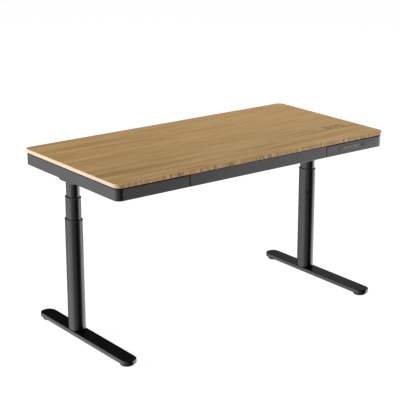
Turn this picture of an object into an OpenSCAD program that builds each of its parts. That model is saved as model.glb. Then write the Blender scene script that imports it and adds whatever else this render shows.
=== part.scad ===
// Height adjustable standing desk: bamboo top on a steel tray with a drawer and a touch panel,
// carried by two three-stage lifting columns on long flat feet.
// +X runs along the width to the right, +Y to the back, +Z up. The floor is z = 0.
// The desk is centred on x = 0 and y = 0 and stands at desk_h, inside its travel.

/* [Tabletop] */
// Width of the tabletop
top_w = 1400; // [1300:10:1600]
// Depth of the tabletop, front to back
top_d = 700; // [690:10:800]
// Thickness of the tabletop
top_t = 16; // [14:1:25]
// Radius of the tabletop's corners in plan
top_r = 30; // [20:1:45]
// Height of the tabletop's upper face above the floor as modelled
desk_h = 761; // [645:1:1245]

/* [Tray under the top] */
// Height of the steel apron
apron_h = 52.5; // [48:0.5:70]
// How far the apron stands back from the tabletop's edge
apron_inset = 3; // [2:1:20]
// Thickness of the apron's sheet steel
sheet = 1.5; // [1.2:0.1:2.5]
// Width of the folded flanges along the apron's upper and lower edges
flange = 18; // [12:1:24]

/* [Drawer] */
// Width of the drawer's front
drawer_w = 720; // [600:10:760]
// Sideways offset of the drawer from the middle of the desk
drawer_x = 2.5; // [-5:0.5:5]
// Depth of the drawer's box, front to back
drawer_d = 338; // [300:1:345]
// Gap beside the drawer's front
drawer_gap = 2.6; // [2:0.1:4]

/* [Touch panel] */
// Distance from the desk's middle to the panel's near end
panel_x = 433.5; // [420:0.5:440]
// Length of the panel
panel_w = 206; // [190:1:210]
// Height of the panel
panel_h = 27; // [24:1:30]

/* [Lifting columns] */
// Distance from the desk's middle to each column's axis
leg_x = 636; // [600:1:640]
// Distance from the desk's middle back to the columns' axes
leg_y = 73.5; // [60:0.5:80]
// Width of the lower tube, across the flats
lower_w = 62.4; // [60:0.1:66]
// Depth of the lower tube, over the round ends
lower_d = 81.9; // [80:0.1:90]
// Wall of the lower tube
lower_wall = 2; // [1.8:0.1:2.2]
// How much narrower the middle tube is than the lower one
middle_step = 8.2; // [8:0.1:8.4]
// Wall of the middle tube
middle_wall = 1.8; // [1.6:0.1:1.9]
// How much narrower the inner tube is than the lower one
inner_step = 17.1; // [17:0.1:17.4]
// Wall of the inner tube
inner_wall = 2; // [1.8:0.1:2.2]
// Height of the tabletop when the columns are fully down
low_h = 641; // [640:1:645]

/* [Feet] */
// Length of a foot, front to back
foot_l = 680; // [660:10:700]
// Width of a foot
foot_w = 68.8; // [66:0.1:80]
// Thickness of a foot
foot_t = 18; // [16:1:25]
// Distance from the middle of a foot to each levelling pad
pad_y = 299.5; // [250:0.5:300]
// Diameter of a levelling pad
pad_d = 56.5; // [40:0.5:60]
// Height of the feet above the floor
foot_lift = 10.9; // [10:0.1:14]

/* [Hidden] */
$fn = 72;
eps = 1;

// Heights of the tray
top_z = desk_h - top_t;
apron_z = top_z - apron_h;
apron_w = top_w - 2 * apron_inset;
apron_d = top_d - 2 * apron_inset;
apron_r = 28;
front_y = -apron_d / 2;
back_half = 300;
corner_reach = 58;
corner_x = apron_w / 2 - corner_reach;
fit_gap = 0.2;
floor_t = 1.2;
vent_w = 5;
vent_l = 60;
vent_pitch = 22;
vents_a_side = 5;
floor_z = apron_z + sheet;
deck_z = floor_z + floor_t;

// Drawer bay
bay_half = drawer_w / 2 + drawer_gap;
front_t = 14;
box_z = apron_z + 6;
box_h = 39;
box_wall = 1.2;
slide_t = 12.7;
slide_h = 35;
slide_z = apron_z + 25.5;
slide_l = 344;
slide_sheet = 1.2;
box_half = drawer_w / 2 - slide_t;
slide_y = front_y + flange;
slide_step = 3.2;
slide_clear = 2.2;
outer_leg = 10;
middle_leg = 8.4;
inner_leg = 7.4;
front_gap = 0.8;
finger_notch = 42;
rail_wall = 1.5;
rail_flange = 16;

// Beams between the brackets
beam_d = 25;
beam_h = 40;
beam_wall = 2;
front_beam_y = 22;
rear_beam_y = 102;
bracket_w = 62;
bracket_l = 520;
bracket_wall = 2.5;
rail_floor_t = 3;
sleeve_l = 122;
sleeve_drop = 23.5;
sleeve_r = 6;
sleeve_gap = 1;
sleeve_chamfer = 8.5;
tube_play = 0.1;
cable_hole_d = 9;
beam_half = leg_x - bracket_w / 2;

// Columns: each stage moves by half of the change in height
stage = (desk_h - low_h) / 2;
foot_top = foot_lift + foot_t;
lower_top = 507.4;
middle_low_top = 541.9;
middle_l = 452.4;
middle_top = middle_low_top + stage;
middle_z = middle_top - middle_l;
middle_w = lower_w - middle_step;
middle_d = lower_d - middle_step;
inner_w = lower_w - inner_step;
inner_d = lower_d - inner_step;
inner_top = top_z - 17;
inner_l = 483;
inner_z = inner_top - inner_l;
collar_h = 3.5;
collar_lip = 1.2;
collar_skirt = 40;
slide_gap = 0.35;
glide_h = 55;
slot_z = 398;
slot_w = 5;
slot_h = 21;
slot_depth = 6;
slot_turn = -47.5;

// Lifting screws, seen from the middle stage's lower end
base_t = 6;
guide_d = 36;
guide_bore = 32;
guide_top = middle_z + 350;
hollow_z = middle_z + 10;
hollow_top = middle_z + 346;
hollow_d = 20;
drive_d = 12;
drive_l = 340;
neck_d = 10;
neck_l = 12;
neck_room = 2;
screw_nut_l = 16;
screw_bore_d = 13.6;
journal_d = 16;
bearing_l = 8;
shoulder_gap = 0.3;
motor_d = 38;
motor_z = top_z - 180;
drive_z = motor_z - drive_l;
gearbox_d = 35;
gearbox_l = 52;
motor_flange_t = 3;
motor_plug = [14, 18, 8];
tube_d = 28;
tube_wall = 2;
tube_top = 400;
nut_h = 24;
nut_play = 0.2;
bolt_x = 18;
bolt_y = 25;
bolt_d = 6;
bolt_head_d = 10;
bolt_head_h = 4;
foot_wall = 2.5;
foot_skin = 3;
boss_d = 20;
boss_lift = 3;

// Levelling feet
pad_h = 8.4;
hex_d = 15;
hex_h = 2;
stud_d = 8;
stud_l = 13;

// Electronics
control_w = 260;
control_d = 90;
control_h = 36;
control_r = 6;
control_y = 190;
panel_z = apron_z + 10.5;
plate_t = 3;
usb_a = [6, 14];
usb_a_x = panel_x + 135.5;
usb_a_wall = 0.5;
usb_c = [4.2, 10];
usb_c_x = panel_x + 147.5;
usb_c_wall = 0.4;
usb_z = apron_z + 26;
usb_depth = 14;
usb_floor = 2;
usb_set_back = 0.5;
board_t = 1.6;
board_margin = [4, 2];
inlet_x = 230;
inlet_z = apron_z + 27;
inlet_plate = [34, 2, 22];
inlet_body = [29.8, 22, 17.8];
inlet_play = 0.1;
socket_w = 8.6;
socket_l = 14.4;
socket_depth = 16;
pin_d = 2.4;
pin_l = 14;
pin_recess = 4;
pin_x = 4.3;

// Leads between the control box, the motors, the touch panel and the inlet
cable_d = 5;
bend_r = 8;
corner_steps = 4;
cable_z = top_z - 10;
lead_z = deck_z + 5;
motor_leads = [
    for (s = [-1, 1]) [
        [s * leg_x, leg_y + 12, inner_top + 7],
        [s * leg_x, control_y - 25, cable_z],
        [s * (leg_x - 25), control_y, cable_z],
        [s * control_w / 2, control_y, cable_z]
    ]
];
panel_lead = [
    [control_w / 2, control_y - 25, cable_z],
    [400, control_y - 25, cable_z],
    [430, 140, lead_z],
    [430, 0, lead_z],
    [500, -285, lead_z],
    [500, -312, panel_z + 8],
    [500, front_y + usb_set_back + usb_depth + board_t, panel_z + 8]
];
inlet_lead = [
    [inlet_x, apron_d / 2 - inlet_body[1], inlet_z],
    [inlet_x, 290, inlet_z],
    [100, 262, cable_z],
    [100, control_y + control_d / 2, cable_z]
];

// Screws in the apron's flanges: the lower ones hold the floor, and the upper ones the top
screw_d = 4;
screw_hole_d = 4.2;
screw_head_d = 8;
screw_head_h = 2;
lower_screw_l = 7;
upper_screw_l = 12;
screw_in = flange / 2 + 1.5;
screw_spots = concat(
    [for (x = [-1, 1], y = [-250, 0, 250]) [x * (apron_w / 2 - screw_in), y]],
    [for (x = [-560, -280, 0, 280, 560]) [x, apron_d / 2 - screw_in]],
    [for (x = [-560, -420, 420, 560]) [x, screw_in - apron_d / 2]]
);

// Paint and finish
bamboo = "#a8875b";
black_steel = "#2b2c2e";
zinc = "#a9adb0";
black_plastic = "#161718";
white_plastic = "#d8d8d2";
brass = "#b08d4a";
glass_black = "#3a3b3d";
green_board = "#1f5b3a";

// Plate with rounded corners, centred in x and y, standing on z = 0
module slab(w, d, h, r) {
    translate([-w / 2 + r, -d / 2, 0])
        cube([w - 2 * r, d, h]);
    translate([-w / 2, -d / 2 + r, 0])
        cube([w, d - 2 * r, h]);
    for (sx = [-1, 1], sy = [-1, 1])
        translate([sx * (w / 2 - r), sy * (d / 2 - r), 0])
            cylinder(r = r, h = h);
}

// Upright bar with full-round ends along y
module stadium(w, d, h) {
    translate([-w / 2, -(d - w) / 2, 0])
        cube([w, d - w, h]);
    for (s = [-1, 1])
        translate([0, s * (d - w) / 2, 0])
            cylinder(d = w, h = h);
}

// Hollow upright bar of the same outline
module stadium_ring(w, d, h, wall) {
    difference() {
        stadium(w, d, h);
        translate([0, 0, -eps])
            stadium(w - 2 * wall, d - 2 * wall, h + 2 * eps);
    }
}

// Round tube standing on z = 0
module tube(d, bore, h) {
    difference() {
        cylinder(d = d, h = h);
        translate([0, 0, -eps])
            cylinder(d = bore, h = h + 2 * eps);
    }
}

// Places a child at one leg: side is -1 for the left leg and 1 for the right one
module at_leg(side) {
    translate([side * leg_x, leg_y, 0])
        children();
}

// Points of a path whose corners are rounded by short curves
function corner(a, b, c, r) = [
    for (t = [0 : 1 / corner_steps : 1])
        (1 - t) * (1 - t) * (b + r * unit(a - b)) + 2 * t * (1 - t) * b + t * t * (b + r * unit(c - b))
];
function rounded(p, r) = concat(
    [p[0]],
    [for (i = [1 : len(p) - 2]) each corner(p[i - 1], p[i], p[i + 1], r)],
    [p[len(p) - 1]]
);
function unit(v) = v / norm(v);
function heading(p, i) = unit(p[min(i + 1, len(p) - 1)] - p[max(i - 1, 0)]);

// Cable swept along a path that is nowhere upright
module cable(points) {
    p = rounded(points, bend_r);
    sides = 8;
    last = len(p) - 1;
    ring = [
        for (i = [0 : last])
            let (t = heading(p, i), u = unit(cross(t, [0, 0, 1])), v = cross(u, t))
                for (k = [0 : sides - 1])
                    p[i] + cable_d / 2 * (cos(k * 360 / sides) * u + sin(k * 360 / sides) * v)
    ];
    walls = [
        for (i = [0 : last - 1], k = [0 : sides - 1])
            let (n = (k + 1) % sides)
                [i * sides + k, (i + 1) * sides + k, (i + 1) * sides + n, i * sides + n]
    ];
    start = [for (k = [0 : sides - 1]) k];
    finish = [for (k = [sides - 1 : -1 : 0]) last * sides + k];
    polyhedron(ring, concat(walls, [start], [finish]), convexity = 6);
}

module tabletop() {
    color(bamboo)
        translate([0, 0, top_z])
            slab(top_w, top_d, top_t, top_r);
}

// Whole apron as a folded section with flanges along both edges
module apron_shell() {
    inner_r = apron_r - sheet;
    difference() {
        translate([0, 0, apron_z])
            slab(apron_w, apron_d, apron_h, apron_r);
        translate([0, 0, apron_z + sheet])
            slab(apron_w - 2 * sheet, apron_d - 2 * sheet, apron_h - 2 * sheet, inner_r);
        translate([0, 0, apron_z - eps])
            slab(apron_w - 2 * flange, apron_d - 2 * flange, apron_h + 2 * eps, apron_r - flange);
        for (p = screw_spots)
            translate([p[0], p[1], apron_z - eps])
                cylinder(d = screw_hole_d, h = apron_h + 2 * eps);
    }
}

// Box over the apron's whole height, from x0 to x1 and from y0 to y1
module apron_box(x0, x1, y0, y1) {
    translate([min(x0, x1), y0, apron_z - eps])
        cube([abs(x1 - x0), y1 - y0, apron_h + 2 * eps]);
}

// One side of the apron, with its two rounded corners and its parts of the front and the back
module side_panel(side) {
    outside = side * (apron_w / 2 + eps);
    front_end = side * (bay_half + side * drawer_x);
    color(black_steel)
        difference() {
            intersection() {
                apron_shell();
                union() {
                    apron_box(side * corner_x, outside, front_y - eps, eps - front_y);
                    apron_box(side * back_half, outside, -front_y - flange - eps, eps - front_y);
                    apron_box(front_end, outside, front_y - eps, front_y + flange + eps);
                }
            }
            if (side > 0)
                translate([panel_x - fit_gap, front_y - eps, panel_z - fit_gap])
                    cube([panel_w + 2 * fit_gap, sheet + 2 * eps, panel_h + 2 * fit_gap]);
        }
}

module side_panel_left() {
    side_panel(-1);
}

module side_panel_right() {
    side_panel(1);
}

module back_panel() {
    hole_w = inlet_body[0] + 2 * inlet_play;
    hole_h = inlet_body[2] + 2 * inlet_play;
    color(black_steel)
        difference() {
            intersection() {
                apron_shell();
                apron_box(-back_half, back_half, -front_y - flange - eps, eps - front_y);
            }
            translate([inlet_x - hole_w / 2, apron_d / 2 - sheet - eps, inlet_z - hole_h / 2])
                cube([hole_w, sheet + 2 * eps, hole_h]);
        }
}

// Sheet floor of the tray: open behind the drawer's lower lip for the fingers, slotted for air
module tray_floor() {
    edge = sheet + fit_gap;
    hole_h = floor_t + 2 * eps;
    color(black_steel)
        translate([0, 0, floor_z])
            difference() {
                slab(apron_w - 2 * edge, apron_d - 2 * edge, floor_t, apron_r - edge);
                translate([drawer_x - bay_half, front_y - eps, -eps])
                    cube([2 * bay_half, finger_notch + eps, hole_h]);
                for (s = [-1, 1])
                    at_leg(s)
                        translate([0, 0, -eps])
                            slab(bracket_w + 2 * sleeve_gap, sleeve_l + 2 * sleeve_gap, hole_h, sleeve_r);
                for (i = [-vents_a_side : vents_a_side])
                    translate([i * vent_pitch, control_y, -eps])
                        stadium(vent_w, vent_l, hole_h);
                for (p = screw_spots)
                    translate([p[0], p[1], -eps])
                        cylinder(d = screw_hole_d, h = hole_h);
            }
}

// Square tube along x between the two leg brackets
module cross_beam(y) {
    color(black_steel)
        difference() {
            translate([-beam_half, y, top_z - beam_h])
                cube([2 * beam_half, beam_d, beam_h]);
            translate([-beam_half - eps, y + beam_wall, top_z - beam_h + beam_wall])
                cube([2 * beam_half + 2 * eps, beam_d - 2 * beam_wall, beam_h - 2 * beam_wall]);
        }
}

module front_beam() {
    cross_beam(front_beam_y);
}

module rear_beam() {
    cross_beam(rear_beam_y);
}

// Sleeve around the column's upper end, with a channel along y that carries the tabletop
module leg_bracket(side) {
    sleeve_z = apron_z - sleeve_drop;
    rail_z = deck_z + rail_floor_t;
    rail_x = side * leg_x - bracket_w / 2;
    bar = sleeve_chamfer * sqrt(2);
    color(black_steel)
        difference() {
            union() {
                at_leg(side)
                    translate([0, 0, sleeve_z])
                        slab(bracket_w, sleeve_l, deck_z - sleeve_z + eps, sleeve_r);
                translate([rail_x, -bracket_l / 2, deck_z])
                    cube([bracket_w, bracket_l, top_z - deck_z]);
            }
            translate([rail_x + bracket_wall, -bracket_l / 2 - eps, rail_z])
                cube([bracket_w - 2 * bracket_wall, bracket_l + 2 * eps, top_z - rail_z + eps]);
            at_leg(side)
                translate([0, 0, sleeve_z - eps])
                    stadium(inner_w + tube_play, inner_d + tube_play, rail_z - sleeve_z + 2 * eps);
            for (s = [-1, 1])
                translate([side * leg_x, leg_y + s * sleeve_l / 2, sleeve_z])
                    rotate([45, 0, 0])
                        cube([bracket_w + 2 * eps, bar, bar], center = true);
            translate([side * (leg_x - bracket_w / 2 - eps), control_y, cable_z])
                rotate([0, side * 90, 0])
                    cylinder(d = cable_hole_d, h = bracket_wall + 2 * eps);
        }
}

module leg_bracket_left() {
    leg_bracket(-1);
}

module leg_bracket_right() {
    leg_bracket(1);
}

module inner_column(side) {
    color(black_steel)
        at_leg(side)
            translate([0, 0, inner_z])
                stadium_ring(inner_w, inner_d, inner_l, inner_wall);
}

module inner_column_left() {
    inner_column(-1);
}

module inner_column_right() {
    inner_column(1);
}

// Plastic sleeve on the lower end of the inner tube
module inner_glide(side) {
    outer_w = middle_w - 2 * middle_wall - 2 * slide_gap;
    outer_d = middle_d - 2 * middle_wall - 2 * slide_gap;
    color(white_plastic)
        at_leg(side)
            translate([0, 0, inner_z])
                stadium_ring(outer_w, outer_d, glide_h, (outer_w - inner_w) / 2);
}

module inner_glide_left() {
    inner_glide(-1);
}

module inner_glide_right() {
    inner_glide(1);
}

// Motor with its gearbox, hung inside the inner tube from a flange on the tube's upper end
module motor(side) {
    color(zinc)
        at_leg(side)
            difference() {
                union() {
                    translate([0, 0, motor_z])
                        cylinder(d = gearbox_d, h = gearbox_l);
                    translate([0, 0, motor_z + gearbox_l])
                        cylinder(d = motor_d, h = inner_top - motor_z - gearbox_l);
                    translate([0, 0, inner_top])
                        stadium(inner_w, inner_d, motor_flange_t);
                    translate([-motor_plug[0] / 2, -motor_plug[1] / 3, inner_top + motor_flange_t])
                        cube(motor_plug);
                }
                translate([0, 0, motor_z - eps])
                    cylinder(d = neck_d + nut_play, h = neck_l + neck_room + eps);
            }
}

module motor_left() {
    motor(-1);
}

module motor_right() {
    motor(1);
}

module control_box() {
    color(black_plastic)
        translate([0, control_y, top_z - control_h])
            slab(control_w, control_d, control_h, control_r);
}

// Two-pin mains inlet in the back panel
module power_inlet() {
    back = apron_d / 2;
    face = back + inlet_plate[1];
    color(black_plastic)
        difference() {
            union() {
                translate([inlet_x - inlet_plate[0] / 2, back, inlet_z - inlet_plate[2] / 2])
                    cube(inlet_plate);
                translate([inlet_x - inlet_body[0] / 2, back - inlet_body[1], inlet_z - inlet_body[2] / 2])
                    cube(inlet_body);
            }
            translate([inlet_x, face + eps, inlet_z])
                rotate([90, 0, 0])
                    rotate([0, 0, 90])
                        stadium(socket_w, socket_l, socket_depth + eps);
        }
    color(zinc)
        for (s = [-1, 1])
            translate([inlet_x + s * pin_x, face - pin_recess, inlet_z])
                rotate([90, 0, 0])
                    cylinder(d = pin_d, h = pin_l);
}

// Cut through the touch plate around one port of that size
module port_opening(x, size) {
    w = size[0] + 2 * fit_gap;
    h = size[1] + 2 * fit_gap;
    translate([x - w / 2, front_y - eps, usb_z - h / 2])
        cube([w, plate_t + 2 * eps, h]);
}

// Touch plate of the hand controls, flush in the front, with two ports cut through it
module touch_panel() {
    color(glass_black)
        difference() {
            translate([panel_x, front_y, panel_z])
                cube([panel_w, plate_t, panel_h]);
            port_opening(usb_a_x, usb_a);
            port_opening(usb_c_x, usb_c);
        }
}

// Metal shell of one port, open to the front
module port_shell(x, size, wall) {
    translate([x - size[0] / 2, front_y + usb_set_back, usb_z - size[1] / 2])
        difference() {
            cube([size[0], usb_depth, size[1]]);
            translate([wall, -eps, wall])
                cube([size[0] - 2 * wall, usb_depth - usb_floor + eps, size[1] - 2 * wall]);
        }
}

module usb_ports() {
    color(zinc) {
        port_shell(usb_a_x, usb_a, usb_a_wall);
        port_shell(usb_c_x, usb_c, usb_c_wall);
    }
}

module circuit_board() {
    inset = board_margin;
    color(green_board)
        translate([panel_x + inset[0], front_y + usb_set_back + usb_depth, panel_z + inset[1]])
            cube([panel_w - 2 * inset[0], board_t, panel_h - 2 * inset[1]]);
}

// All leads are held inside the tray
module wiring() {
    color(black_plastic) {
        for (route = motor_leads)
            cable(route);
        cable(panel_lead);
        cable(inlet_lead);
    }
}

// Upright that carries a drawer slide, folded outwards along its upper edge
module drawer_rail(side) {
    face = side * drawer_w / 2 + drawer_x;
    rail_l = front_beam_y - slide_y;
    color(black_steel) {
        translate([side > 0 ? face : face - rail_wall, slide_y, deck_z])
            cube([rail_wall, rail_l, top_z - deck_z]);
        translate([side > 0 ? face : face - rail_flange, slide_y, top_z - rail_wall])
            cube([rail_flange, rail_l, rail_wall]);
    }
}

module drawer_rail_left() {
    drawer_rail(-1);
}

module drawer_rail_right() {
    drawer_rail(1);
}

// Channel lying on its side: its back stands at u and its legs reach to u + reach
module slide_channel(side, u, reach, h) {
    face = side * drawer_w / 2 + drawer_x;
    near = face - side * u;
    far = face - side * (u + reach);
    back = face - side * (u + sign(reach) * slide_sheet);
    color(zinc)
        translate([0, slide_y, slide_z]) {
            translate([min(near, back), 0, -h / 2])
                cube([slide_sheet, slide_l, h]);
            for (s = [-1, 1])
                translate([min(near, far), 0, s * (h / 2 - slide_sheet / 2) - slide_sheet / 2])
                    cube([abs(reach), slide_l, slide_sheet]);
        }
}

module slide_outer_left() {
    slide_channel(-1, 0, outer_leg, slide_h);
}

module slide_outer_right() {
    slide_channel(1, 0, outer_leg, slide_h);
}

module slide_middle_left() {
    slide_channel(-1, slide_clear, middle_leg, slide_h - 2 * slide_step);
}

module slide_middle_right() {
    slide_channel(1, slide_clear, middle_leg, slide_h - 2 * slide_step);
}

module slide_inner_left() {
    slide_channel(-1, slide_t, -inner_leg, slide_h - 4 * slide_step);
}

module slide_inner_right() {
    slide_channel(1, slide_t, -inner_leg, slide_h - 4 * slide_step);
}

// Folded front of the drawer, open at the back
module drawer_front() {
    h = apron_h - front_gap;
    color(black_steel)
        translate([drawer_x - drawer_w / 2, front_y, apron_z])
            difference() {
                cube([drawer_w, front_t, h]);
                translate([sheet, sheet, sheet])
                    cube([drawer_w - 2 * sheet, front_t, h - 2 * sheet]);
            }
}

module drawer_box() {
    color(black_steel)
        translate([drawer_x - box_half, front_y + front_t, box_z])
            difference() {
                cube([2 * box_half, drawer_d, box_h]);
                translate([box_wall, box_wall, box_wall])
                    cube([2 * box_half - 2 * box_wall, drawer_d - 2 * box_wall, box_h]);
            }
}

// Screw at p whose head lies against a face at height z and whose shank reaches l above it
module screw(p, z, l) {
    translate([p[0], p[1], z - screw_head_h])
        cylinder(d = screw_head_d, h = screw_head_h);
    translate([p[0], p[1], z - eps])
        cylinder(d = screw_d, h = l + eps);
}

// Screws from below, through the apron's flange and the tray's floor, and up into the top
module frame_screws() {
    color(zinc)
        for (p = screw_spots) {
            screw(p, apron_z, lower_screw_l);
            screw(p, top_z - sheet, upper_screw_l);
        }
}

module middle_column(side) {
    color(black_steel)
        at_leg(side)
            translate([0, 0, middle_z])
                stadium_ring(middle_w, middle_d, middle_l, middle_wall);
}

module middle_column_left() {
    middle_column(-1);
}

module middle_column_right() {
    middle_column(1);
}

// Guide collar on a tube's upper end: a thin lip outside and a long skirt inside
module collar(w, d, wall, z, run_w, run_d) {
    lip_w = w + 2 * collar_lip;
    lip_d = d + 2 * collar_lip;
    bore_w = run_w + 2 * slide_gap;
    bore_d = run_d + 2 * slide_gap;
    color(black_plastic)
        translate([0, 0, z])
            difference() {
                union() {
                    stadium(lip_w, lip_d, collar_h);
                    translate([0, 0, -collar_skirt])
                        stadium(w - 2 * wall, d - 2 * wall, collar_skirt + eps);
                }
                translate([0, 0, -collar_skirt - eps])
                    stadium(bore_w, bore_d, collar_skirt + collar_h + 2 * eps);
            }
}

module middle_collar(side) {
    at_leg(side)
        collar(middle_w, middle_d, middle_wall, middle_top, inner_w, inner_d);
}

module middle_collar_left() {
    middle_collar(-1);
}

module middle_collar_right() {
    middle_collar(1);
}

// Plastic sleeve on the lower end of the middle tube
module middle_glide(side) {
    outer_w = lower_w - 2 * lower_wall - 2 * slide_gap;
    outer_d = lower_d - 2 * lower_wall - 2 * slide_gap;
    color(white_plastic)
        at_leg(side)
            translate([0, 0, middle_z])
                stadium_ring(outer_w, outer_d, glide_h, (outer_w - middle_w) / 2);
}

module middle_glide_left() {
    middle_glide(-1);
}

module middle_glide_right() {
    middle_glide(1);
}

// Tube on the middle stage's foot plate, capped by the bearing that holds the hollow screw
module guide_tube(side) {
    cap_t = guide_top - hollow_top + bearing_l;
    color(zinc)
        at_leg(side)
            difference() {
                union() {
                    translate([0, 0, middle_z])
                        stadium(middle_w - 2 * middle_wall, middle_d - 2 * middle_wall, base_t);
                    translate([0, 0, middle_z])
                        cylinder(d = guide_d, h = guide_top - middle_z);
                }
                translate([0, 0, middle_z - eps])
                    cylinder(d = guide_bore, h = guide_top - middle_z - cap_t + eps);
                translate([0, 0, middle_z])
                    cylinder(d = journal_d + nut_play, h = guide_top);
            }
}

module guide_tube_left() {
    guide_tube(-1);
}

module guide_tube_right() {
    guide_tube(1);
}

// Solid lifting screw, turned by the gearbox
module drive_screw(side) {
    color(zinc)
        at_leg(side) {
            translate([0, 0, drive_z])
                cylinder(d = drive_d, h = drive_l - shoulder_gap);
            translate([0, 0, motor_z - eps])
                cylinder(d = neck_d, h = neck_l + eps);
        }
}

module drive_screw_left() {
    drive_screw(-1);
}

module drive_screw_right() {
    drive_screw(1);
}

// Hollow lifting screw: its upper end is the nut of the solid screw and turns in the bearing
module hollow_screw(side) {
    shoulder = hollow_top - bearing_l - shoulder_gap;
    color(zinc)
        at_leg(side)
            difference() {
                union() {
                    translate([0, 0, hollow_z])
                        cylinder(d = hollow_d, h = shoulder - hollow_z);
                    translate([0, 0, shoulder - eps])
                        cylinder(d = journal_d, h = hollow_top - shoulder + eps);
                }
                translate([0, 0, hollow_z - eps])
                    cylinder(d = screw_bore_d, h = shoulder - hollow_z - screw_nut_l + eps);
                translate([0, 0, hollow_z])
                    cylinder(d = drive_d + nut_play, h = hollow_top);
            }
}

module hollow_screw_left() {
    hollow_screw(-1);
}

module hollow_screw_right() {
    hollow_screw(1);
}

module lower_column(side) {
    end_y = (lower_d - lower_w) / 2;
    color(black_steel)
        at_leg(side)
            difference() {
                translate([0, 0, foot_top])
                    stadium_ring(lower_w, lower_d, lower_top - foot_top, lower_wall);
                translate([0, -end_y, slot_z])
                    rotate([0, 0, side * slot_turn])
                        translate([0, -lower_w / 2 - eps, -slot_h / 2])
                            rotate([-90, 0, 0])
                                translate([0, -slot_h / 2, 0])
                                    stadium(slot_w, slot_h, slot_depth);
            }
}

module lower_column_left() {
    lower_column(-1);
}

module lower_column_right() {
    lower_column(1);
}

module lower_collar(side) {
    at_leg(side)
        collar(lower_w, lower_d, lower_wall, lower_top, middle_w, middle_d);
}

module lower_collar_left() {
    lower_collar(-1);
}

module lower_collar_right() {
    lower_collar(1);
}

// Pressed steel foot, open below, with a threaded boss for each levelling pad
module foot(side) {
    inside_h = foot_t - foot_skin;
    color(black_steel)
        translate([side * leg_x, 0, foot_lift])
            difference() {
                union() {
                    difference() {
                        stadium(foot_w, foot_l, foot_t);
                        translate([0, 0, -eps])
                            stadium(foot_w - 2 * foot_wall, foot_l - 2 * foot_wall, inside_h + eps);
                    }
                    for (s = [-1, 1])
                        translate([0, s * pad_y, boss_lift])
                            cylinder(d = boss_d, h = foot_t - boss_lift - eps);
                }
                for (s = [-1, 1])
                    translate([0, s * pad_y, -eps])
                        cylinder(d = stud_d + nut_play, h = inside_h + eps);
                for (x = [-1, 1], y = [-1, 1])
                    translate([x * bolt_x, leg_y + y * bolt_y, 0])
                        cylinder(d = bolt_d + 2 * nut_play, h = foot_t + eps);
            }
}

module foot_left() {
    foot(-1);
}

module foot_right() {
    foot(1);
}

// Base plate of the column with the tube that holds the lower nut up
module support_tube(side) {
    color(zinc)
        at_leg(side)
            translate([0, 0, foot_top])
                difference() {
                    union() {
                        stadium(lower_w - 2 * lower_wall, lower_d - 2 * lower_wall, base_t);
                        cylinder(d = tube_d, h = tube_top - foot_top);
                    }
                    translate([0, 0, base_t])
                        cylinder(d = tube_d - 2 * tube_wall, h = tube_top);
                    for (x = [-1, 1], y = [-1, 1])
                        translate([x * bolt_x, y * bolt_y, -eps])
                            cylinder(d = bolt_d + nut_play, h = base_t + 2 * eps);
                }
}

module support_tube_left() {
    support_tube(-1);
}

module support_tube_right() {
    support_tube(1);
}

module lower_nut(side) {
    color(brass)
        at_leg(side)
            translate([0, 0, tube_top])
                tube(tube_d, hollow_d + nut_play, nut_h);
}

module lower_nut_left() {
    lower_nut(-1);
}

module lower_nut_right() {
    lower_nut(1);
}

// Four bolts from inside the foot up into the column's base plate
module foot_bolts(side) {
    color(zinc)
        at_leg(side)
            for (x = [-1, 1], y = [-1, 1])
                translate([x * bolt_x, y * bolt_y, foot_top - foot_skin - bolt_head_h]) {
                    cylinder(d = bolt_head_d, h = bolt_head_h);
                    cylinder(d = bolt_d, h = bolt_head_h + foot_skin + base_t);
                }
}

module foot_bolts_left() {
    foot_bolts(-1);
}

module foot_bolts_right() {
    foot_bolts(1);
}

// Levelling foot: a broad pad with a hexagon for the spanner and a threaded stud
module leveller(side, end) {
    color(black_plastic)
        translate([side * leg_x, end * pad_y, 0]) {
            cylinder(d = pad_d, h = pad_h);
            translate([0, 0, pad_h])
                cylinder(d = hex_d, h = hex_h, $fn = 6);
            translate([0, 0, pad_h + hex_h])
                cylinder(d = stud_d, h = stud_l);
        }
}

module leveller_front_left() {
    leveller(-1, -1);
}

module leveller_back_left() {
    leveller(-1, 1);
}

module leveller_front_right() {
    leveller(1, -1);
}

module leveller_back_right() {
    leveller(1, 1);
}

tabletop();
side_panel_left();
side_panel_right();
back_panel();
tray_floor();
front_beam();
rear_beam();
leg_bracket_left();
leg_bracket_right();
inner_column_left();
inner_column_right();
inner_glide_left();
inner_glide_right();
motor_left();
motor_right();
control_box();
power_inlet();
touch_panel();
usb_ports();
circuit_board();
wiring();
drawer_rail_left();
drawer_rail_right();
slide_outer_left();
slide_outer_right();
frame_screws();
drawer_front();
drawer_box();
slide_inner_left();
slide_inner_right();
slide_middle_left();
slide_middle_right();
middle_column_left();
middle_column_right();
middle_collar_left();
middle_collar_right();
middle_glide_left();
middle_glide_right();
guide_tube_left();
guide_tube_right();
drive_screw_left();
drive_screw_right();
hollow_screw_left();
hollow_screw_right();
lower_column_left();
lower_column_right();
lower_collar_left();
lower_collar_right();
foot_left();
foot_right();
support_tube_left();
support_tube_right();
lower_nut_left();
lower_nut_right();
foot_bolts_left();
foot_bolts_right();
leveller_front_left();
leveller_back_left();
leveller_front_right();
leveller_back_right();
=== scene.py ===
"""Looks of the height adjustable standing desk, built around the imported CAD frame.

Every length is in metres, in the frame's own axes: +X to the right, +Y to the back, +Z up.
"""
from functools import partial
from math import cos, pi, radians, sin

import bmesh
import bpy
from mathutils import Matrix, Vector


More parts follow.
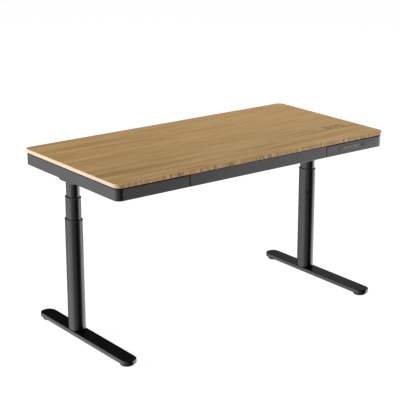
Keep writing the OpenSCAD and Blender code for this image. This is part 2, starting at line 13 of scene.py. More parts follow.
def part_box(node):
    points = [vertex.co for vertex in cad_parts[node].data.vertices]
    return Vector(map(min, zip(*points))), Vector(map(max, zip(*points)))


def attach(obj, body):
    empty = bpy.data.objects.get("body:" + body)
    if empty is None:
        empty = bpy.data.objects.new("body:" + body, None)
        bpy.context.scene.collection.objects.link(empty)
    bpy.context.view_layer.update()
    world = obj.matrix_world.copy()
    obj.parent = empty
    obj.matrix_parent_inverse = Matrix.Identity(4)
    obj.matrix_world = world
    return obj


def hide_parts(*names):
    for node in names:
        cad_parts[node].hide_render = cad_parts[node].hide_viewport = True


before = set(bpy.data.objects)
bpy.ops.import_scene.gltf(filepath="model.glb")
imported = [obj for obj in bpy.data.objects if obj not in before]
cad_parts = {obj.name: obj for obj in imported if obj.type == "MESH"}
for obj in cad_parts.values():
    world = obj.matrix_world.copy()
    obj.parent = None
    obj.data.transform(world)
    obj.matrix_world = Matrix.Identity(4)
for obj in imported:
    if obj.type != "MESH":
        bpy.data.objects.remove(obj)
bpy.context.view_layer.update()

SIDES = {"left": -1, "right": 1}


# ---- camera and lamps

CAMERA_TARGET = Vector((-0.0005, 0.0604, 0.474))
CAMERA_DISTANCE = 5.481
CAMERA_YAW = radians(-37.106)
CAMERA_PITCH = radians(17.092)
CAMERA_ROLL = radians(-0.062)
CAMERA_LENS = 112.95


def in_scene(name, data):
    """A new object with that data, linked to the scene."""
    made = bpy.data.objects.new(name, data)
    bpy.context.scene.collection.objects.link(made)
    return made


def make_camera():
    """The camera looks at the desk from its front left, a little from above."""
    data = bpy.data.cameras.new("camera")
    data.lens = CAMERA_LENS
    data.sensor_width = 36
    data.clip_end = 200
    camera = in_scene("camera", data)
    turn = (
        Matrix.Rotation(CAMERA_YAW, 4, "Z")
        @ Matrix.Rotation(pi / 2 - CAMERA_PITCH, 4, "X")
        @ Matrix.Rotation(CAMERA_ROLL, 4, "Z")
    )
    back = turn @ Vector((0, 0, 1))
    camera.matrix_world = Matrix.Translation(CAMERA_TARGET + CAMERA_DISTANCE * back) @ turn
    bpy.context.scene.camera = camera


def area_light(name, place, aim, size, power):
    """A rectangular softbox at place that points at aim. Glossy surfaces don't mirror it."""
    data = bpy.data.lights.new(name, "AREA")
    data.shape = "RECTANGLE"
    data.size, data.size_y = size
    data.energy = power
    light = in_scene(name, data)
    light.location = place
    light.rotation_euler = (Vector(aim) - Vector(place)).to_track_quat("-Z", "Y").to_euler()
    light.visible_glossy = False


# ---- node materials

class Nodes:
    """Short calls that add nodes to a tree. A value is a number, a colour or another node's output."""

    def __init__(self, tree):
        self.tree = tree

    def give(self, socket, value):
        if isinstance(value, bpy.types.NodeSocket):
            self.tree.links.new(value, socket)
        else:
            socket.default_value = value

    def add(self, kind, values=(), **settings):
        """A node with its settings; values go to its inputs in order."""
        made = self.tree.nodes.new(kind)
        for key, value in settings.items():
            setattr(made, key, value)
        for socket, value in zip(made.inputs, values):
            self.give(socket, value)
        return made

    def place(self):
        """The point on the surface, in the object's own metres."""
        return self.add("ShaderNodeTexCoord").outputs["Object"]

    def split(self, vector):
        return self.add("ShaderNodeSeparateXYZ", [vector]).outputs

    def join(self, x, y, z):
        return self.add("ShaderNodeCombineXYZ", [x, y, z]).outputs[0]

    def calc(self, operation, *values):
        return self.add("ShaderNodeMath", values, operation=operation).outputs[0]

    def plus(self, a, b):
        return self.calc("ADD", a, b)

    def times(self, a, b):
        return self.calc("MULTIPLY", a, b)

    def scaled(self, vector, factors):
        return self.add("ShaderNodeVectorMath", [vector, factors], operation="MULTIPLY").outputs[0]

    def noise(self, vector, scale, detail=3, rough=0.5):
        made = self.add("ShaderNodeTexNoise", [vector])
        for socket, value in (("Scale", scale), ("Detail", detail), ("Roughness", rough)):
            made.inputs[socket].default_value = value
        return made.outputs["Fac"]

    def grain(self, x, y, z=0, detail=2, rough=0.5):
        """Noise over coordinates that are already stretched, one by one."""
        return self.noise(self.join(x, y, z), 1, detail, rough)

    def chance(self, number):
        """A steady random value from 0 to 1 for each whole number."""
        made = self.add("ShaderNodeTexWhiteNoise", noise_dimensions="1D")
        self.give(made.inputs["W"], number)
        return made.outputs["Value"]

    def span(self, value, low, high, to_low=0, to_high=1, shape="LINEAR"):
        """Value from low..high moved to to_low..to_high and held inside it."""
        return self.add(
            "ShaderNodeMapRange", [value, low, high, to_low, to_high], interpolation_type=shape
        ).outputs[0]

    def ramp(self, value, stops):
        """The colours of the stops, blended: each is a (position, colour) pair."""
        made = self.add("ShaderNodeValToRGB", [value])
        marks = made.color_ramp.elements
        while len(marks) < len(stops):
            marks.new(0.5)
        for mark, (at, colour) in zip(marks, stops):
            mark.position = at
            mark.color = (*colour, 1)
        return made.outputs["Color"]

    def mix(self, share, a, b):
        """Colour a where share is 0 and colour b where it is 1."""
        made = self.add("ShaderNodeMix", [share], data_type="RGBA")
        for index, value in ((6, a), (7, b)):
            self.give(made.inputs[index], (*value, 1) if isinstance(value, tuple) else value)
        return made.outputs[2]


class Paint(Nodes):
    """One Principled material and the nodes that feed it."""

    def __init__(self, name, colour, roughness, metallic=0, specular=0.5, coat=0):
        self.material = bpy.data.materials.new(name)
        self.material.use_nodes = True
        super().__init__(self.material.node_tree)
        self.shader = self.tree.nodes["Principled BSDF"]
        self.feed("Base Color", (*colour, 1))
        self.feed("Roughness", roughness)
        self.feed("Metallic", metallic)
        self.feed("Specular IOR Level", specular)
        self.feed("Coat Weight", coat)
        self.feed("Coat Roughness", 0.1)
        self.material.diffuse_color = (*colour, 1)

    def feed(self, socket, value):
        self.give(self.shader.inputs[socket], value)

    def mottle(self, pattern, low, high, dark, light):
        """Base colour from dark to light as the pattern goes from low to high."""
        self.feed("Base Color", self.mix(self.span(pattern, low, high), dark, light))

    def bump(self, height, depth):
        made = self.add("ShaderNodeBump")
        for socket, value in (("Strength", 1), ("Distance", depth), ("Height", height)):
            self.give(made.inputs[socket], value)
        self.feed("Normal", made.outputs["Normal"])


def shade_of(colour, factor):
    return tuple(min(1, factor * c) for c in colour)


def powder_coat(name, shade, roughness, grain=950, depth=0.00006, specular=0.5):
    """Black powder coat: a fine orange peel, with slow changes of tone and gloss over the part."""
    paint = Paint(name, (shade, shade, shade * 1.04), roughness, specular=specular)
    place = paint.place()
    peel = paint.noise(place, grain, 2, 0.6)
    cloud = paint.noise(place, 6, 3, 0.6)
    dark = (shade * 0.86, shade * 0.86, shade * 0.9)
    light = (shade * 1.18, shade * 1.18, shade * 1.22)
    paint.mottle(cloud, 0.3, 0.7, dark, light)
    gloss = paint.plus(paint.span(cloud, 0.3, 0.7, -0.03, 0.03), paint.span(peel, 0.2, 0.8, -0.05, 0.05))
    paint.feed("Roughness", paint.plus(gloss, roughness))
    paint.bump(peel, depth)
    return paint.material


def mottled(paint, colour, fine, slow, tones, gloss, depth):
    """Slow patches change the paint's tone; fine marks change its gloss and stand up as bumps."""
    dark, light = tones
    paint.mottle(slow, 0.3, 0.7, shade_of(colour, dark), shade_of(colour, light))
    paint.feed("Roughness", paint.span(fine, *gloss))
    paint.bump(fine, depth)
    return paint.material


def moulded(name, colour, roughness, grain=1400, depth=0.00004, specular=0.5):
    """Moulded plastic or rubber with a fine spark-eroded grain."""
    paint = Paint(name, colour, roughness, specular=specular)
    place = paint.place()
    fine, slow = paint.noise(place, grain, 2, 0.7), paint.noise(place, 25, 2, 0.5)
    gloss = (0.2, 0.8, roughness - 0.08, roughness + 0.08)
    return mottled(paint, colour, fine, slow, (0.8, 1.25), gloss, depth)


def metal(name, colour, roughness, streak=(40, 40, 40)):
    """Plated or turned metal with fine brushed marks and a mottled finish."""
    paint = Paint(name, colour, roughness, metallic=1)
    place = paint.place()
    marks = paint.noise(paint.scaled(place, streak), 12, 4, 0.65)
    gloss = (0.25, 0.75, roughness - 0.09, roughness + 0.11)
    return mottled(paint, colour, marks, paint.noise(place, 90, 3, 0.6), (0.78, 1.12), gloss, 0.00002)


PLANK = 0.1167
STRIP = 0.0195
PLANK_START = 0.35


def bamboo_top():
    """Wide boards along X: each has its own tone, long fibres, darker streaks and a thin joint."""
    paint = Paint("bamboo_top", (0.36, 0.23, 0.09), 0.42)
    plus, times, span, mix, grain = paint.plus, paint.times, paint.span, paint.mix, paint.grain
    x, y, z = paint.split(paint.place())
    across = paint.calc("DIVIDE", plus(y, PLANK_START), PLANK)
    tone = paint.chance(paint.calc("FLOOR", across))
    shift = times(tone, 9)
    along = plus(x, shift)
    wander = paint.noise(paint.join(along, y, shift), 2.2, 2, 0.5)
    bent = plus(y, times(wander, 0.02))
    wide = grain(times(along, 1.3), times(bent, 34), shift, 3, 0.6)
    fleck = grain(times(along, 3.2), times(bent, 150), shift)
    fibre = grain(times(x, 16), times(y, 1500), rough=0.6)
    base = paint.ramp(wide, [
        (0.26, (0.225, 0.128, 0.042)),
        (0.44, (0.318, 0.197, 0.076)),
        (0.58, (0.366, 0.234, 0.097)),
        (0.78, (0.455, 0.304, 0.138)),
    ])
    colour = mix(span(tone, 0, 1, 0, 0.45), base, (0.388, 0.248, 0.104))
    strip = paint.chance(paint.calc("FLOOR", paint.calc("DIVIDE", y, STRIP)))
    colour = mix(span(strip, 0, 0.5, 0.16, 0), colour, (0.27, 0.16, 0.056))
    colour = mix(span(strip, 0.5, 1, 0, 0.16), colour, (0.48, 0.33, 0.155))
    colour = mix(span(fleck, 0.55, 0.7, 0, 0.8), colour, (0.152, 0.08, 0.023))
    colour = mix(span(fibre, 0.35, 0.75, 0, 0.18), colour, (0.215, 0.12, 0.04))
    joint = span(paint.calc("PINGPONG", across, 0.5), 0, 0.008, 0.45, 0)
    paint.feed("Base Color", mix(joint, colour, (0.14, 0.074, 0.024)))
    paint.feed("Roughness", span(fibre, 0.2, 0.8, 0.38, 0.52))
    paint.bump(plus(times(fibre, 0.5), times(joint, -0.9)), 0.0001)
    return paint.material


def bamboo_edge():
    """Cut edge of the board: upright strips in tan and burnt orange along X; pale end grain along Y, its
    paleness partly a painted highlight.
    """
    paint = Paint("bamboo_edge", (0.36, 0.23, 0.09), 0.42, specular=0.55)
    plus, times, span, mix, grain = paint.plus, paint.times, paint.span, paint.mix, paint.grain
    x, y, z = paint.split(paint.place())
    around = plus(x, y)
    ticks = grain(times(around, 95), times(z, 18), rough=0.7)
    patches = grain(times(around, 11), 0, 3)
    ply = grain(times(around, 6), times(z, 420))
    strips = paint.ramp(ticks, [
        (0.32, (0.15, 0.052, 0.012)),
        (0.43, (0.34, 0.152, 0.042)),
        (0.52, (0.44, 0.245, 0.08)),
        (0.64, (0.71, 0.485, 0.215)),
    ])
    plain = paint.ramp(ply, [(0.3, (0.39, 0.21, 0.056)), (0.7, (0.5, 0.295, 0.092))])
    # Both end faces turned to ±X take a paler, greyer colour: partly the wood's end grain, partly a painted
    # highlight of strong light falling on the end.
    end_grain_and_highlight = paint.ramp(ply, [(0.3, (0.325, 0.265, 0.186)), (0.7, (0.398, 0.33, 0.245))])
    faced = paint.split(paint.add("ShaderNodeTexCoord").outputs["Normal"])[0]
    end_highlight_share = span(paint.calc("ABSOLUTE", faced), 0.55, 0.95)
    long_side = mix(span(patches, 0.4, 0.56, 0.15, 0.95), plain, strips)
    paint.feed("Base Color", mix(end_highlight_share, long_side, end_grain_and_highlight))
    paint.feed("Roughness", span(ticks, 0.3, 0.7, 0.34, 0.48))
    paint.bump(ticks, 0.00008)
    return paint.material


def touch_gloss():
    """Dark touch plate: smooth, with the faint tint and the tiny specks of a printed back."""
    paint = Paint("touch_gloss", (0.012, 0.012, 0.013), 0.24, specular=0.45)
    place = paint.place()
    smear = paint.noise(place, 45, 3, 0.55)
    speck = paint.noise(place, 2600, 1, 0.5)
    paint.mottle(smear, 0.35, 0.7, (0.009, 0.009, 0.01), (0.014, 0.014, 0.015))
    sheen = paint.plus(paint.span(smear, 0.3, 0.7, 0.2, 0.3), paint.span(speck, 0.3, 0.7, -0.03, 0.03))
    paint.feed("Roughness", sheen)
    return paint.material


def glow(name, colour, strength):
    """Lit marking behind the touch plate, a little uneven as real light guides are."""
    paint = Paint(name, colour, 0.4)
    paint.mottle(paint.noise(paint.place(), 260, 2), 0.3, 0.7, shade_of(colour, 0.72), colour)
    paint.feed("Emission Color", (*colour, 1))
    paint.feed("Emission Strength", strength)
    return paint.material


def engraving():
    """Scorched wood of the small mark on the top."""
    paint = Paint("engraving", (0.16, 0.085, 0.035), 0.7)
    char = paint.noise(paint.place(), 900, 3, 0.7)
    paint.mottle(char, 0.3, 0.7, (0.04, 0.022, 0.009), (0.09, 0.048, 0.018))
    paint.bump(char, 0.00005)
    return paint.material


def circuit_green():
    """Solder resist with the faint relief of the tracks under it."""
    paint = Paint("circuit_green", (0.03, 0.14, 0.06), 0.35, coat=0.3)
    tracks = paint.add("ShaderNodeTexBrick", [paint.scaled(paint.place(), (260, 260, 260))])
    share = paint.span(tracks.outputs["Fac"], 0, 1, 0, 0.8)
    paint.feed("Base Color", paint.mix(share, (0.02, 0.11, 0.045), (0.055, 0.23, 0.095)))
    paint.bump(tracks.outputs["Fac"], 0.00003)
    return paint.material


LOOK = {
    "tray": powder_coat("tray_powder_coat", 0.007, 0.3),
    "column": powder_coat("column_powder_coat", 0.004, 0.25, specular=0.4),
    "foot": powder_coat("foot_powder_coat", 0.0022, 0.2, specular=0.43),
    "drawer": powder_coat("drawer_powder_coat", 0.014, 0.42, grain=700, depth=0.00009),
    "plastic": moulded("black_plastic", (0.018, 0.018, 0.019), 0.46),
    "rubber": moulded("pad_rubber", (0.014, 0.014, 0.015), 0.72, grain=800, depth=0.00009),
    # Near-black, dull plastic of the slot plug: painted shade inside the slot.
    "shade_plug": moulded("shade_plug", (0.003, 0.003, 0.003), 0.86, specular=0.15),
    "glide": moulded("glide_plastic", (0.66, 0.66, 0.62), 0.4),
    "jacket": moulded("cable_jacket", (0.016, 0.016, 0.017), 0.5, grain=500),
    "zinc": metal("zinc_plate", (0.6, 0.61, 0.62), 0.34),
    "black_bolt": metal("black_oxide", (0.055, 0.055, 0.058), 0.4),
    "port": metal("port_shell", (0.17, 0.17, 0.175), 0.34),
    "gold": metal("gold_contact", (0.83, 0.62, 0.24), 0.25),
    "brass": metal("turned_brass", (0.72, 0.5, 0.2), 0.28, streak=(8, 8, 160)),
    "steel": metal("turned_steel", (0.55, 0.55, 0.56), 0.26, streak=(8, 8, 160)),
    "top": bamboo_top(),
    "edge": bamboo_edge(),
    "touch": touch_gloss(),
    "digit": glow("display_digit", (0.32, 0.325, 0.33), 0.26),
    "icon": glow("panel_icon", (0.17, 0.17, 0.175), 0.24),
    "mark": engraving(),
    "board": circuit_green(),
}

# The record's material slot of each look whose slot isn't its own name with _paint after it.
SLOT = {
    "plastic": "black_plastic", "rubber": "pad_rubber", "shade_plug": "pad_rubber", "jacket": "cable_jacket",
    "zinc": "zinc", "black_bolt": "zinc", "steel": "zinc", "port": "port_metal", "gold": "nut_brass",
    "brass": "nut_brass", "touch": "panel_gloss", "digit": "panel_gloss", "icon": "panel_gloss",
    "mark": "bamboo",
}


# ---- room, lights and floor

# Brightness of the room's lower half at each compass heading (degrees, 0 = +Y, 90 = +X): what the
# upright faces reflect.
ROOM_RING = [
    (0, 0.35), (9, 0.28), (18, 0.1), (36, 0.1), (45, 0.42), (53, 0.55), (67, 1), (83, 2),
    (98, 3.4), (116, 5), (131, 3.1), (145, 0.9), (157, 0.05), (195, 0.05), (209, 0.4), (224, 0.75),
    (245, 0.85), (260, 1.2), (276, 2.3), (292, 3), (306, 2), (333, 1.95), (338, 0.3), (360, 0.35),
]
RING_PEAK = 5


def make_room():
    """World light: a ring of bright and dark screens below eye level under a dim, even ceiling."""
    world = bpy.data.worlds.new("studio")
    world.use_nodes = True
    bpy.context.scene.world = world
    room = Nodes(world.node_tree)
    times = room.times

    def soft(value, low, high, to_low=0, to_high=1):
        return room.span(value, low, high, to_low, to_high, "SMOOTHSTEP")

    x, y, z = room.split(room.add("ShaderNodeTexCoord").outputs["Generated"])
    turn = room.calc("WRAP", room.calc("DIVIDE", room.calc("ARCTAN2", x, y), 2 * pi), 1, 0)
    stops = [(heading / 360, (level / RING_PEAK,) * 3) for heading, level in ROOM_RING]
    low_part = times(room.ramp(turn, stops), RING_PEAK)
    back_glow = times(soft(turn, 0.098, 0.118, 0, 0.2), soft(turn, 0.22, 0.28, 1, 0))
    left = times(soft(turn, 0.66, 0.74), soft(turn, 0.925, 0.945, 1, 0))
    ceiling = soft(z, 0.35, 0.8, 0.012, 0.25)
    high_part = room.plus(times(back_glow, soft(z, 0.45, 0.6, 1, 0)), ceiling)
    share = soft(room.calc("SUBTRACT", z, times(left, 0.3)), 0, 0.14)
    blend = room.plus(times(low_part, room.calc("SUBTRACT", 1, share)), times(high_part, share))
    seen = room.add("ShaderNodeLightPath").outputs["Is Camera Ray"]
    final = room.plus(times(blend, room.calc("SUBTRACT", 1, seen)), seen)
    room.give(room.tree.nodes["Background"].inputs["Color"], final)


def make_light():
    """A wide overhead softbox and a bright one at the back left."""
    make_room()
    area_light("overhead", (2.2, 1.2, 4.6), (0, 0.2, 0), (5, 4), 292)
    area_light("left_side", (-4, 2.2, 1.3), (0, 0, 0.7), (2.6, 1.6), 330)
    bpy.context.scene.view_settings.view_transform = "Standard"


def make_floor():
    """A wide white floor that glows, so that only a faint shadow lies on it."""
    mesh = bpy.data.meshes.new("floor")
    reach, under = 60, -0.0005
    corners = [(sx * reach, sy * reach, under) for sx, sy in ((-1, -1), (1, -1), (1, 1), (-1, 1))]
    mesh.from_pydata(corners, [], [(0, 1, 2, 3)])
    floor = in_scene("floor", mesh)
    paint = Paint("floor_white", (0.1, 0.1, 0.1), 0.9, specular=0)
    paint.feed("Emission Color", (1, 1, 1, 1))
    paint.feed("Emission Strength", 0.96)
    mesh.materials.append(paint.material)
    floor.visible_glossy = False


# ---- outlines and lofts

def around(r, turns, cx=0, cy=0):
    """Points at distance r from a centre, one for each angle."""
    return [(cx + r * cos(a), cy + r * sin(a)) for a in turns]


def circle(r, steps=32):
    return around(r, [2 * pi * i / steps for i in range(steps)])


def rounded_rect(w, d, r, inset=0, steps=10):
    """Rectangle with round corners, anticlockwise. Any inset gives the same number of points."""
    r_in = max(r - inset, 0.0002)
    half_w, half_d = w / 2 - inset, d / 2 - inset
    points = []
    for k, (sx, sy) in enumerate(((1, -1), (1, 1), (-1, 1), (-1, -1))):
        turns = [pi / 2 * (k - 1 + i / steps) for i in range(steps + 1)]
        points += around(r_in, turns, sx * (half_w - r_in), sy * (half_d - r_in))
    return points


def stadium(w, d, inset=0, steps=28):
    """Outline with straight sides along the second axis and two full-round ends."""
    points = []
    for end, start in ((1, 0), (-1, pi)):
        turns = [start + pi * i / steps for i in range(steps + 1)]
        points += around(w / 2 - inset, turns, 0, end * (d - w) / 2)
    return points


def arc(inset0, z0, inset1, z1, outward, steps=4):
    """Quarter round from one (inset, z) point to another. Outward says which way it bulges."""
    points = []
    for i in range(steps + 1):
        a = pi / 2 * i / steps
        s, c = sin(a), cos(a)
        if outward:
            points.append((inset0 + (inset1 - inset0) * s, z0 + (z1 - z0) * (1 - c)))
        else:
            points.append((inset0 + (inset1 - inset0) * (1 - c), z0 + (z1 - z0) * s))
    return points


def loft(rings, closed=False, bands=None, bm=None):
    """Skins rings of equal length, in a new mesh or in bm.

    Closed joins the last ring to the first; otherwise both ends are filled. Bands gives the
    material index of each strip of faces.
    """
    if bm is None:
        bm = bmesh.new()
    rows = [[bm.verts.new(p) for p in ring] for ring in rings]
    pairs = list(zip(rows, rows[1:]))
    if closed:
        pairs.append((rows[-1], rows[0]))
    bands = bands or [0] * len(pairs)
    count = len(rings[0])
    for band, (low, high) in zip(bands, pairs):
        for i in range(count):
            j = (i + 1) % count
            bm.faces.new((low[i], low[j], high[j], high[i])).material_index = band
    if not closed:
        bm.faces.new(rows[0][::-1]).material_index = bands[0]
        bm.faces.new(rows[-1]).material_index = bands[-1]
    return bm


def stack(outline, profile, centre=(0, 0), **options):
    """Skins level rings around centre: outline(size) at height z for each (size, z) of the profile."""
    cx, cy = centre
    return loft([[(cx + x, cy + y, z) for x, y in outline(size)] for size, z in profile], **options)


def stack_back(outline, profile, centre, flip=False, **options):
    """Skins upright rings: outline(size) at depth y for each (size, y); centre is an (x, z) pair."""
    cx, cz = centre
    rings = [[(cx + a, y, cz + b) for a, b in outline(size)] for size, y in profile]
    return loft([ring[::-1] for ring in rings] if flip else rings, **options)


def box_mesh(bm, low, high):
    """A plain box between two corners, as a part of a larger mesh."""
    (x0, y0, z0), (x1, y1, z1) = low, high
    lower = [bm.verts.new((x, y, z0)) for x, y in ((x0, y0), (x1, y0), (x1, y1), (x0, y1))]
    upper = [bm.verts.new((v.co.x, v.co.y, z1)) for v in lower]
    bm.faces.new(lower[::-1])
    bm.faces.new(upper)
    for i in range(4):
        j = (i + 1) % 4
        bm.faces.new((lower[i], lower[j], upper[j], upper[i]))


SHARP_ANGLE = 30


def object_of(name, bm):
    """An object of the mesh bm, with its faces turned outward."""
    bmesh.ops.recalc_face_normals(bm, faces=bm.faces)
    mesh = bpy.data.meshes.new(name)
    bm.to_mesh(mesh)
    bm.free()
    return in_scene(name, mesh)


def smooth(mesh):
    for polygon in mesh.polygons:
        polygon.use_smooth = True


def as_object(name, bm, looks, bevel=0, segments=2, angle=SHARP_ANGLE):
    """Turns the mesh into an object with clean shading and, where asked, rounded edges."""
    obj = object_of(name, bm)
    mesh = obj.data
    for look in looks:
        mesh.materials.append(LOOK[look])
    smooth(mesh)
    if bevel:
        rounding = obj.modifiers.new("rounding", "BEVEL")
        rounding.width = bevel
        rounding.segments = segments
        rounding.limit_method = "ANGLE"
        rounding.angle_limit = radians(angle)
    else:
        mesh.set_sharp_from_angle(angle=radians(angle))
    normals = obj.modifiers.new("normals", "WEIGHTED_NORMAL")
    normals.keep_sharp = True
    return obj


def settle(obj, slot, body, *nodes):
    """Puts a finished piece on its body and hides the nodes it stands for. Its slot is not used."""
    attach(obj, body)
    if nodes:
        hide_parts(*nodes)


def piece(name, bm, look, body, *nodes, **finish):
    """A finished piece of one look, put on its body."""
    settle(as_object(name, bm, [look], **finish), SLOT.get(look, f"{look}_paint"), body, *nodes)


def cut(obj, bm):
    """Takes the closed mesh bm away from obj, and keeps the result as obj's own mesh."""
    tool = object_of("cutter", bm)
    change = obj.modifiers.new("cut", "BOOLEAN")
    change.operation = "DIFFERENCE"
    change.solver = "EXACT"
    change.object = tool
    obj.modifiers.move(len(obj.modifiers) - 1, 0)
    for other in obj.modifiers[1:]:
        other.show_viewport = False
    bpy.context.view_layer.update()
    evaluated = obj.evaluated_get(bpy.context.evaluated_depsgraph_get())
    result = bpy.data.meshes.new_from_object(evaluated)
    obj.modifiers.remove(obj.modifiers["cut"])
    for other in obj.modifiers:
        other.show_viewport = True
    obj.data = result
    result.name = obj.name
    smooth(result)
    result.set_sharp_from_angle(angle=radians(SHARP_ANGLE))
    bpy.data.objects.remove(tool)


def span_of(node):
    """Size of a node's box along x and y."""
    low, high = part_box(node)
    return high.x - low.x, high.y - low.y


def middle(node):
    """Centre of a node's box in plan."""
    low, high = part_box(node)
    return ((low.x + high.x) / 2, (low.y + high.y) / 2)


def front_middle(node):
    """Centre of a node's box seen from the front: x and z."""
    low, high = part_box(node)
    return ((low.x + high.x) / 2, (low.z + high.z) / 2)


# ---- top and tray

TOP_CORNER = 0.03
TOP_EASE = 0.0016
BAND_CORNER = 0.028
SHEET = 0.0015
FLANGE = 0.018
FOLD = 0.0032
UPPER_FOLD = 0.0035
SHADOW_GAP = 0.003
JOG = 0.008
THROUGH = 0.01        # how far a cutter stands out of what it cuts


def make_tabletop():
    """The bamboo board with its eased edges."""
    low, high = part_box("tabletop")
    flat = TOP_EASE + 0.003
    profile = [(flat, low.z)]
    profile += arc(TOP_EASE, low.z, 0, low.z + TOP_EASE, True)
    profile += arc(0, high.z - TOP_EASE, TOP_EASE, high.z, False)
    profile += [(flat, high.z)]
    steps = len(profile) - 1
    bands = [0 if b in (0, steps - 1, steps - 2) else 1 for b in range(steps)]
    bm = stack(partial(rounded_rect, *span_of("tabletop"), TOP_CORNER, steps=14), profile, bands=bands)
    settle(as_object("tabletop_board", bm, ["top", "edge"]), "bamboo", "top", "tabletop")


def make_top_mark():
    """A small generic mark burnt into the top near the right front corner: a ring between arcs."""
    low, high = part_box("tabletop")
    centre = (high.x - 0.126, low.y + 0.192)
    line, ring, spread, steps = 0.005, 0.016, radians(38), 10
    base, crest = high.z, high.z + 0.00012
    bm = bmesh.new()
    profile = [(ring, base), (ring, crest), (ring - line, crest), (ring - line, base)]
    stack(partial(circle, steps=40), profile, centre, closed=True, bm=bm)
    for facing in (0, pi):
        for r in (0.032, 0.048):
            turns = [facing - spread + 2 * spread * i / steps for i in range(steps + 1)]
            outline = around(r, turns) + around(r - line, turns[::-1])
            stack(lambda _: outline, [(0, base), (0, crest)], centre, bm=bm)
    piece("top_mark", bm, "mark", "top")


def band_profile(bottom, top):
    """Folded sheet seen end on: (inset, z) round the outside of the section and back inside.

    The upper flange is joggled: its outer strip lies lower and leaves a shadow gap under the board.
    """
    inner, upper_inner = FOLD - SHEET, UPPER_FOLD - SHEET
    lip = top - SHADOW_GAP
    outside = [(FLANGE, top), (JOG + SHEET, top), (JOG, lip)]
    outside += arc(UPPER_FOLD, lip, 0, lip - UPPER_FOLD, True, 6)
    outside += arc(0, bottom + FOLD, FOLD, bottom, False)
    outside += [(FLANGE, bottom), (FLANGE, bottom + SHEET)]
    inside = arc(FOLD, bottom + SHEET, SHEET, bottom + SHEET + inner, True, 3)
    inside += arc(SHEET, lip - SHEET - upper_inner, UPPER_FOLD, lip - SHEET, False, 3)
    inside += [(JOG + SHEET, lip - SHEET), (JOG + 2 * SHEET, top - SHEET), (FLANGE, top - SHEET)]
    return outside + inside


def band_path(low, high, gap_left, gap_right, inset):
    """From the drawer's left end round the desk to its right end, at that distance inside."""
    r, steps = BAND_CORNER - inset, 14
    left, right = low.x + BAND_CORNER, high.x - BAND_CORNER
    front, back = low.y + BAND_CORNER, high.y - BAND_CORNER
    points = [(gap_left, front - r)]
    for cx, cy, start in ((left, front, 270), (left, back, 180), (right, back, 90), (right, front, 0)):
        points += around(r, [radians(start - 90 * i / steps) for i in range(steps + 1)], cx, cy)
    return points + [(gap_right, front - r)]


def front_reach(node, front):
    """The x of each corner that a node has on the desk's front face."""
    return [v.co.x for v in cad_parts[node].data.vertices if v.co.y < front + SHEET / 2]


def make_apron():
    """One folded band round the tray, cut out for the touch panel and the mains inlet."""
    low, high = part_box("side_panel_left")[0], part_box("side_panel_right")[1]
    gap_left = max(front_reach("side_panel_left", low.y))
    gap_right = min(front_reach("side_panel_right", low.y))
    profile = band_profile(low.z, high.z)
    paths = {inset: band_path(low, high, gap_left, gap_right, inset) for inset, _ in profile}
    count = len(paths[FLANGE])
    bm = loft([[(*paths[inset][k], z) for inset, z in profile] for k in range(count)])
    band = as_object("apron_band", bm, ["tray"])
    play, rim, depth = 0.0006, 0.0018, 0.004
    a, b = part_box("touch_panel")
    c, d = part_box("power_inlet")
    for corners in (
        ((a.x - play, a.y - THROUGH, a.z - play), (b.x + play, b.y + depth, b.z + play)),
        ((c.x + rim, high.y - depth, c.z + rim), (d.x - rim, d.y + THROUGH, d.z - rim)),
    ):
        tool = bmesh.new()
        box_mesh(tool, *corners)
        cut(band, tool)
    settle(band, "tray_paint", "top", "side_panel_left", "side_panel_right", "back_panel")


def make_drawer_front():
    """Folded pan: the front face, its rounded folds and the returns behind them."""
    low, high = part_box("drawer_front")
    ease, fold, corner = 0.0012, 0.0028, 0.0012
    inner = low.y + SHEET
    profile = [(fold + 0.004, low.y)]
    profile += arc(fold, low.y, 0, low.y + fold, True)
    profile += [(0, high.y - ease), (ease, high.y), (SHEET, high.y)]
    profile += [(SHEET, inner + 0.002), (SHEET + 0.003, inner)]
    outline = partial(rounded_rect, high.x - low.x, high.z - low.z, corner, steps=3)
    bm = stack_back(outline, profile, front_middle("drawer_front"), flip=True)
    piece("drawer_fascia", bm, "tray", "drawer", "drawer_front")


def make_drawer_box():
    """Sheet drawer with rounded corners, a rolled rim and a lining on its floor."""
    low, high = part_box("drawer_box")
    size, centre = span_of("drawer_box"), middle("drawer_box")
    wall, rim, roll, corner, lining_corner = 0.0012, 0.003, 0.0008, 0.004, 0.01
    bottom, top, deck = low.z, high.z, low.z + wall
    profile = [(0.006, bottom), (0.002, bottom), (0, bottom + 0.002), (0, top - roll), (roll, top)]
    profile += [(rim - roll, top), (rim, top - roll), (rim, top - 0.003), (wall, top - 0.0036)]
    profile += [(wall, bottom + 0.0036), (wall + 0.0024, deck), (0.01, deck)]
    bm = stack(partial(rounded_rect, *size, corner, steps=5), profile, centre)
    piece("drawer_tray", bm, "drawer", "drawer", "drawer_box")
    profile = [(0.006, deck), (0.005, deck + 0.001), (0.008, deck + 0.0014), (0.012, deck + 0.0014)]
    lining = stack(partial(rounded_rect, *size, lining_corner, steps=5), profile, centre)
    piece("drawer_lining", lining, "rubber", "drawer")


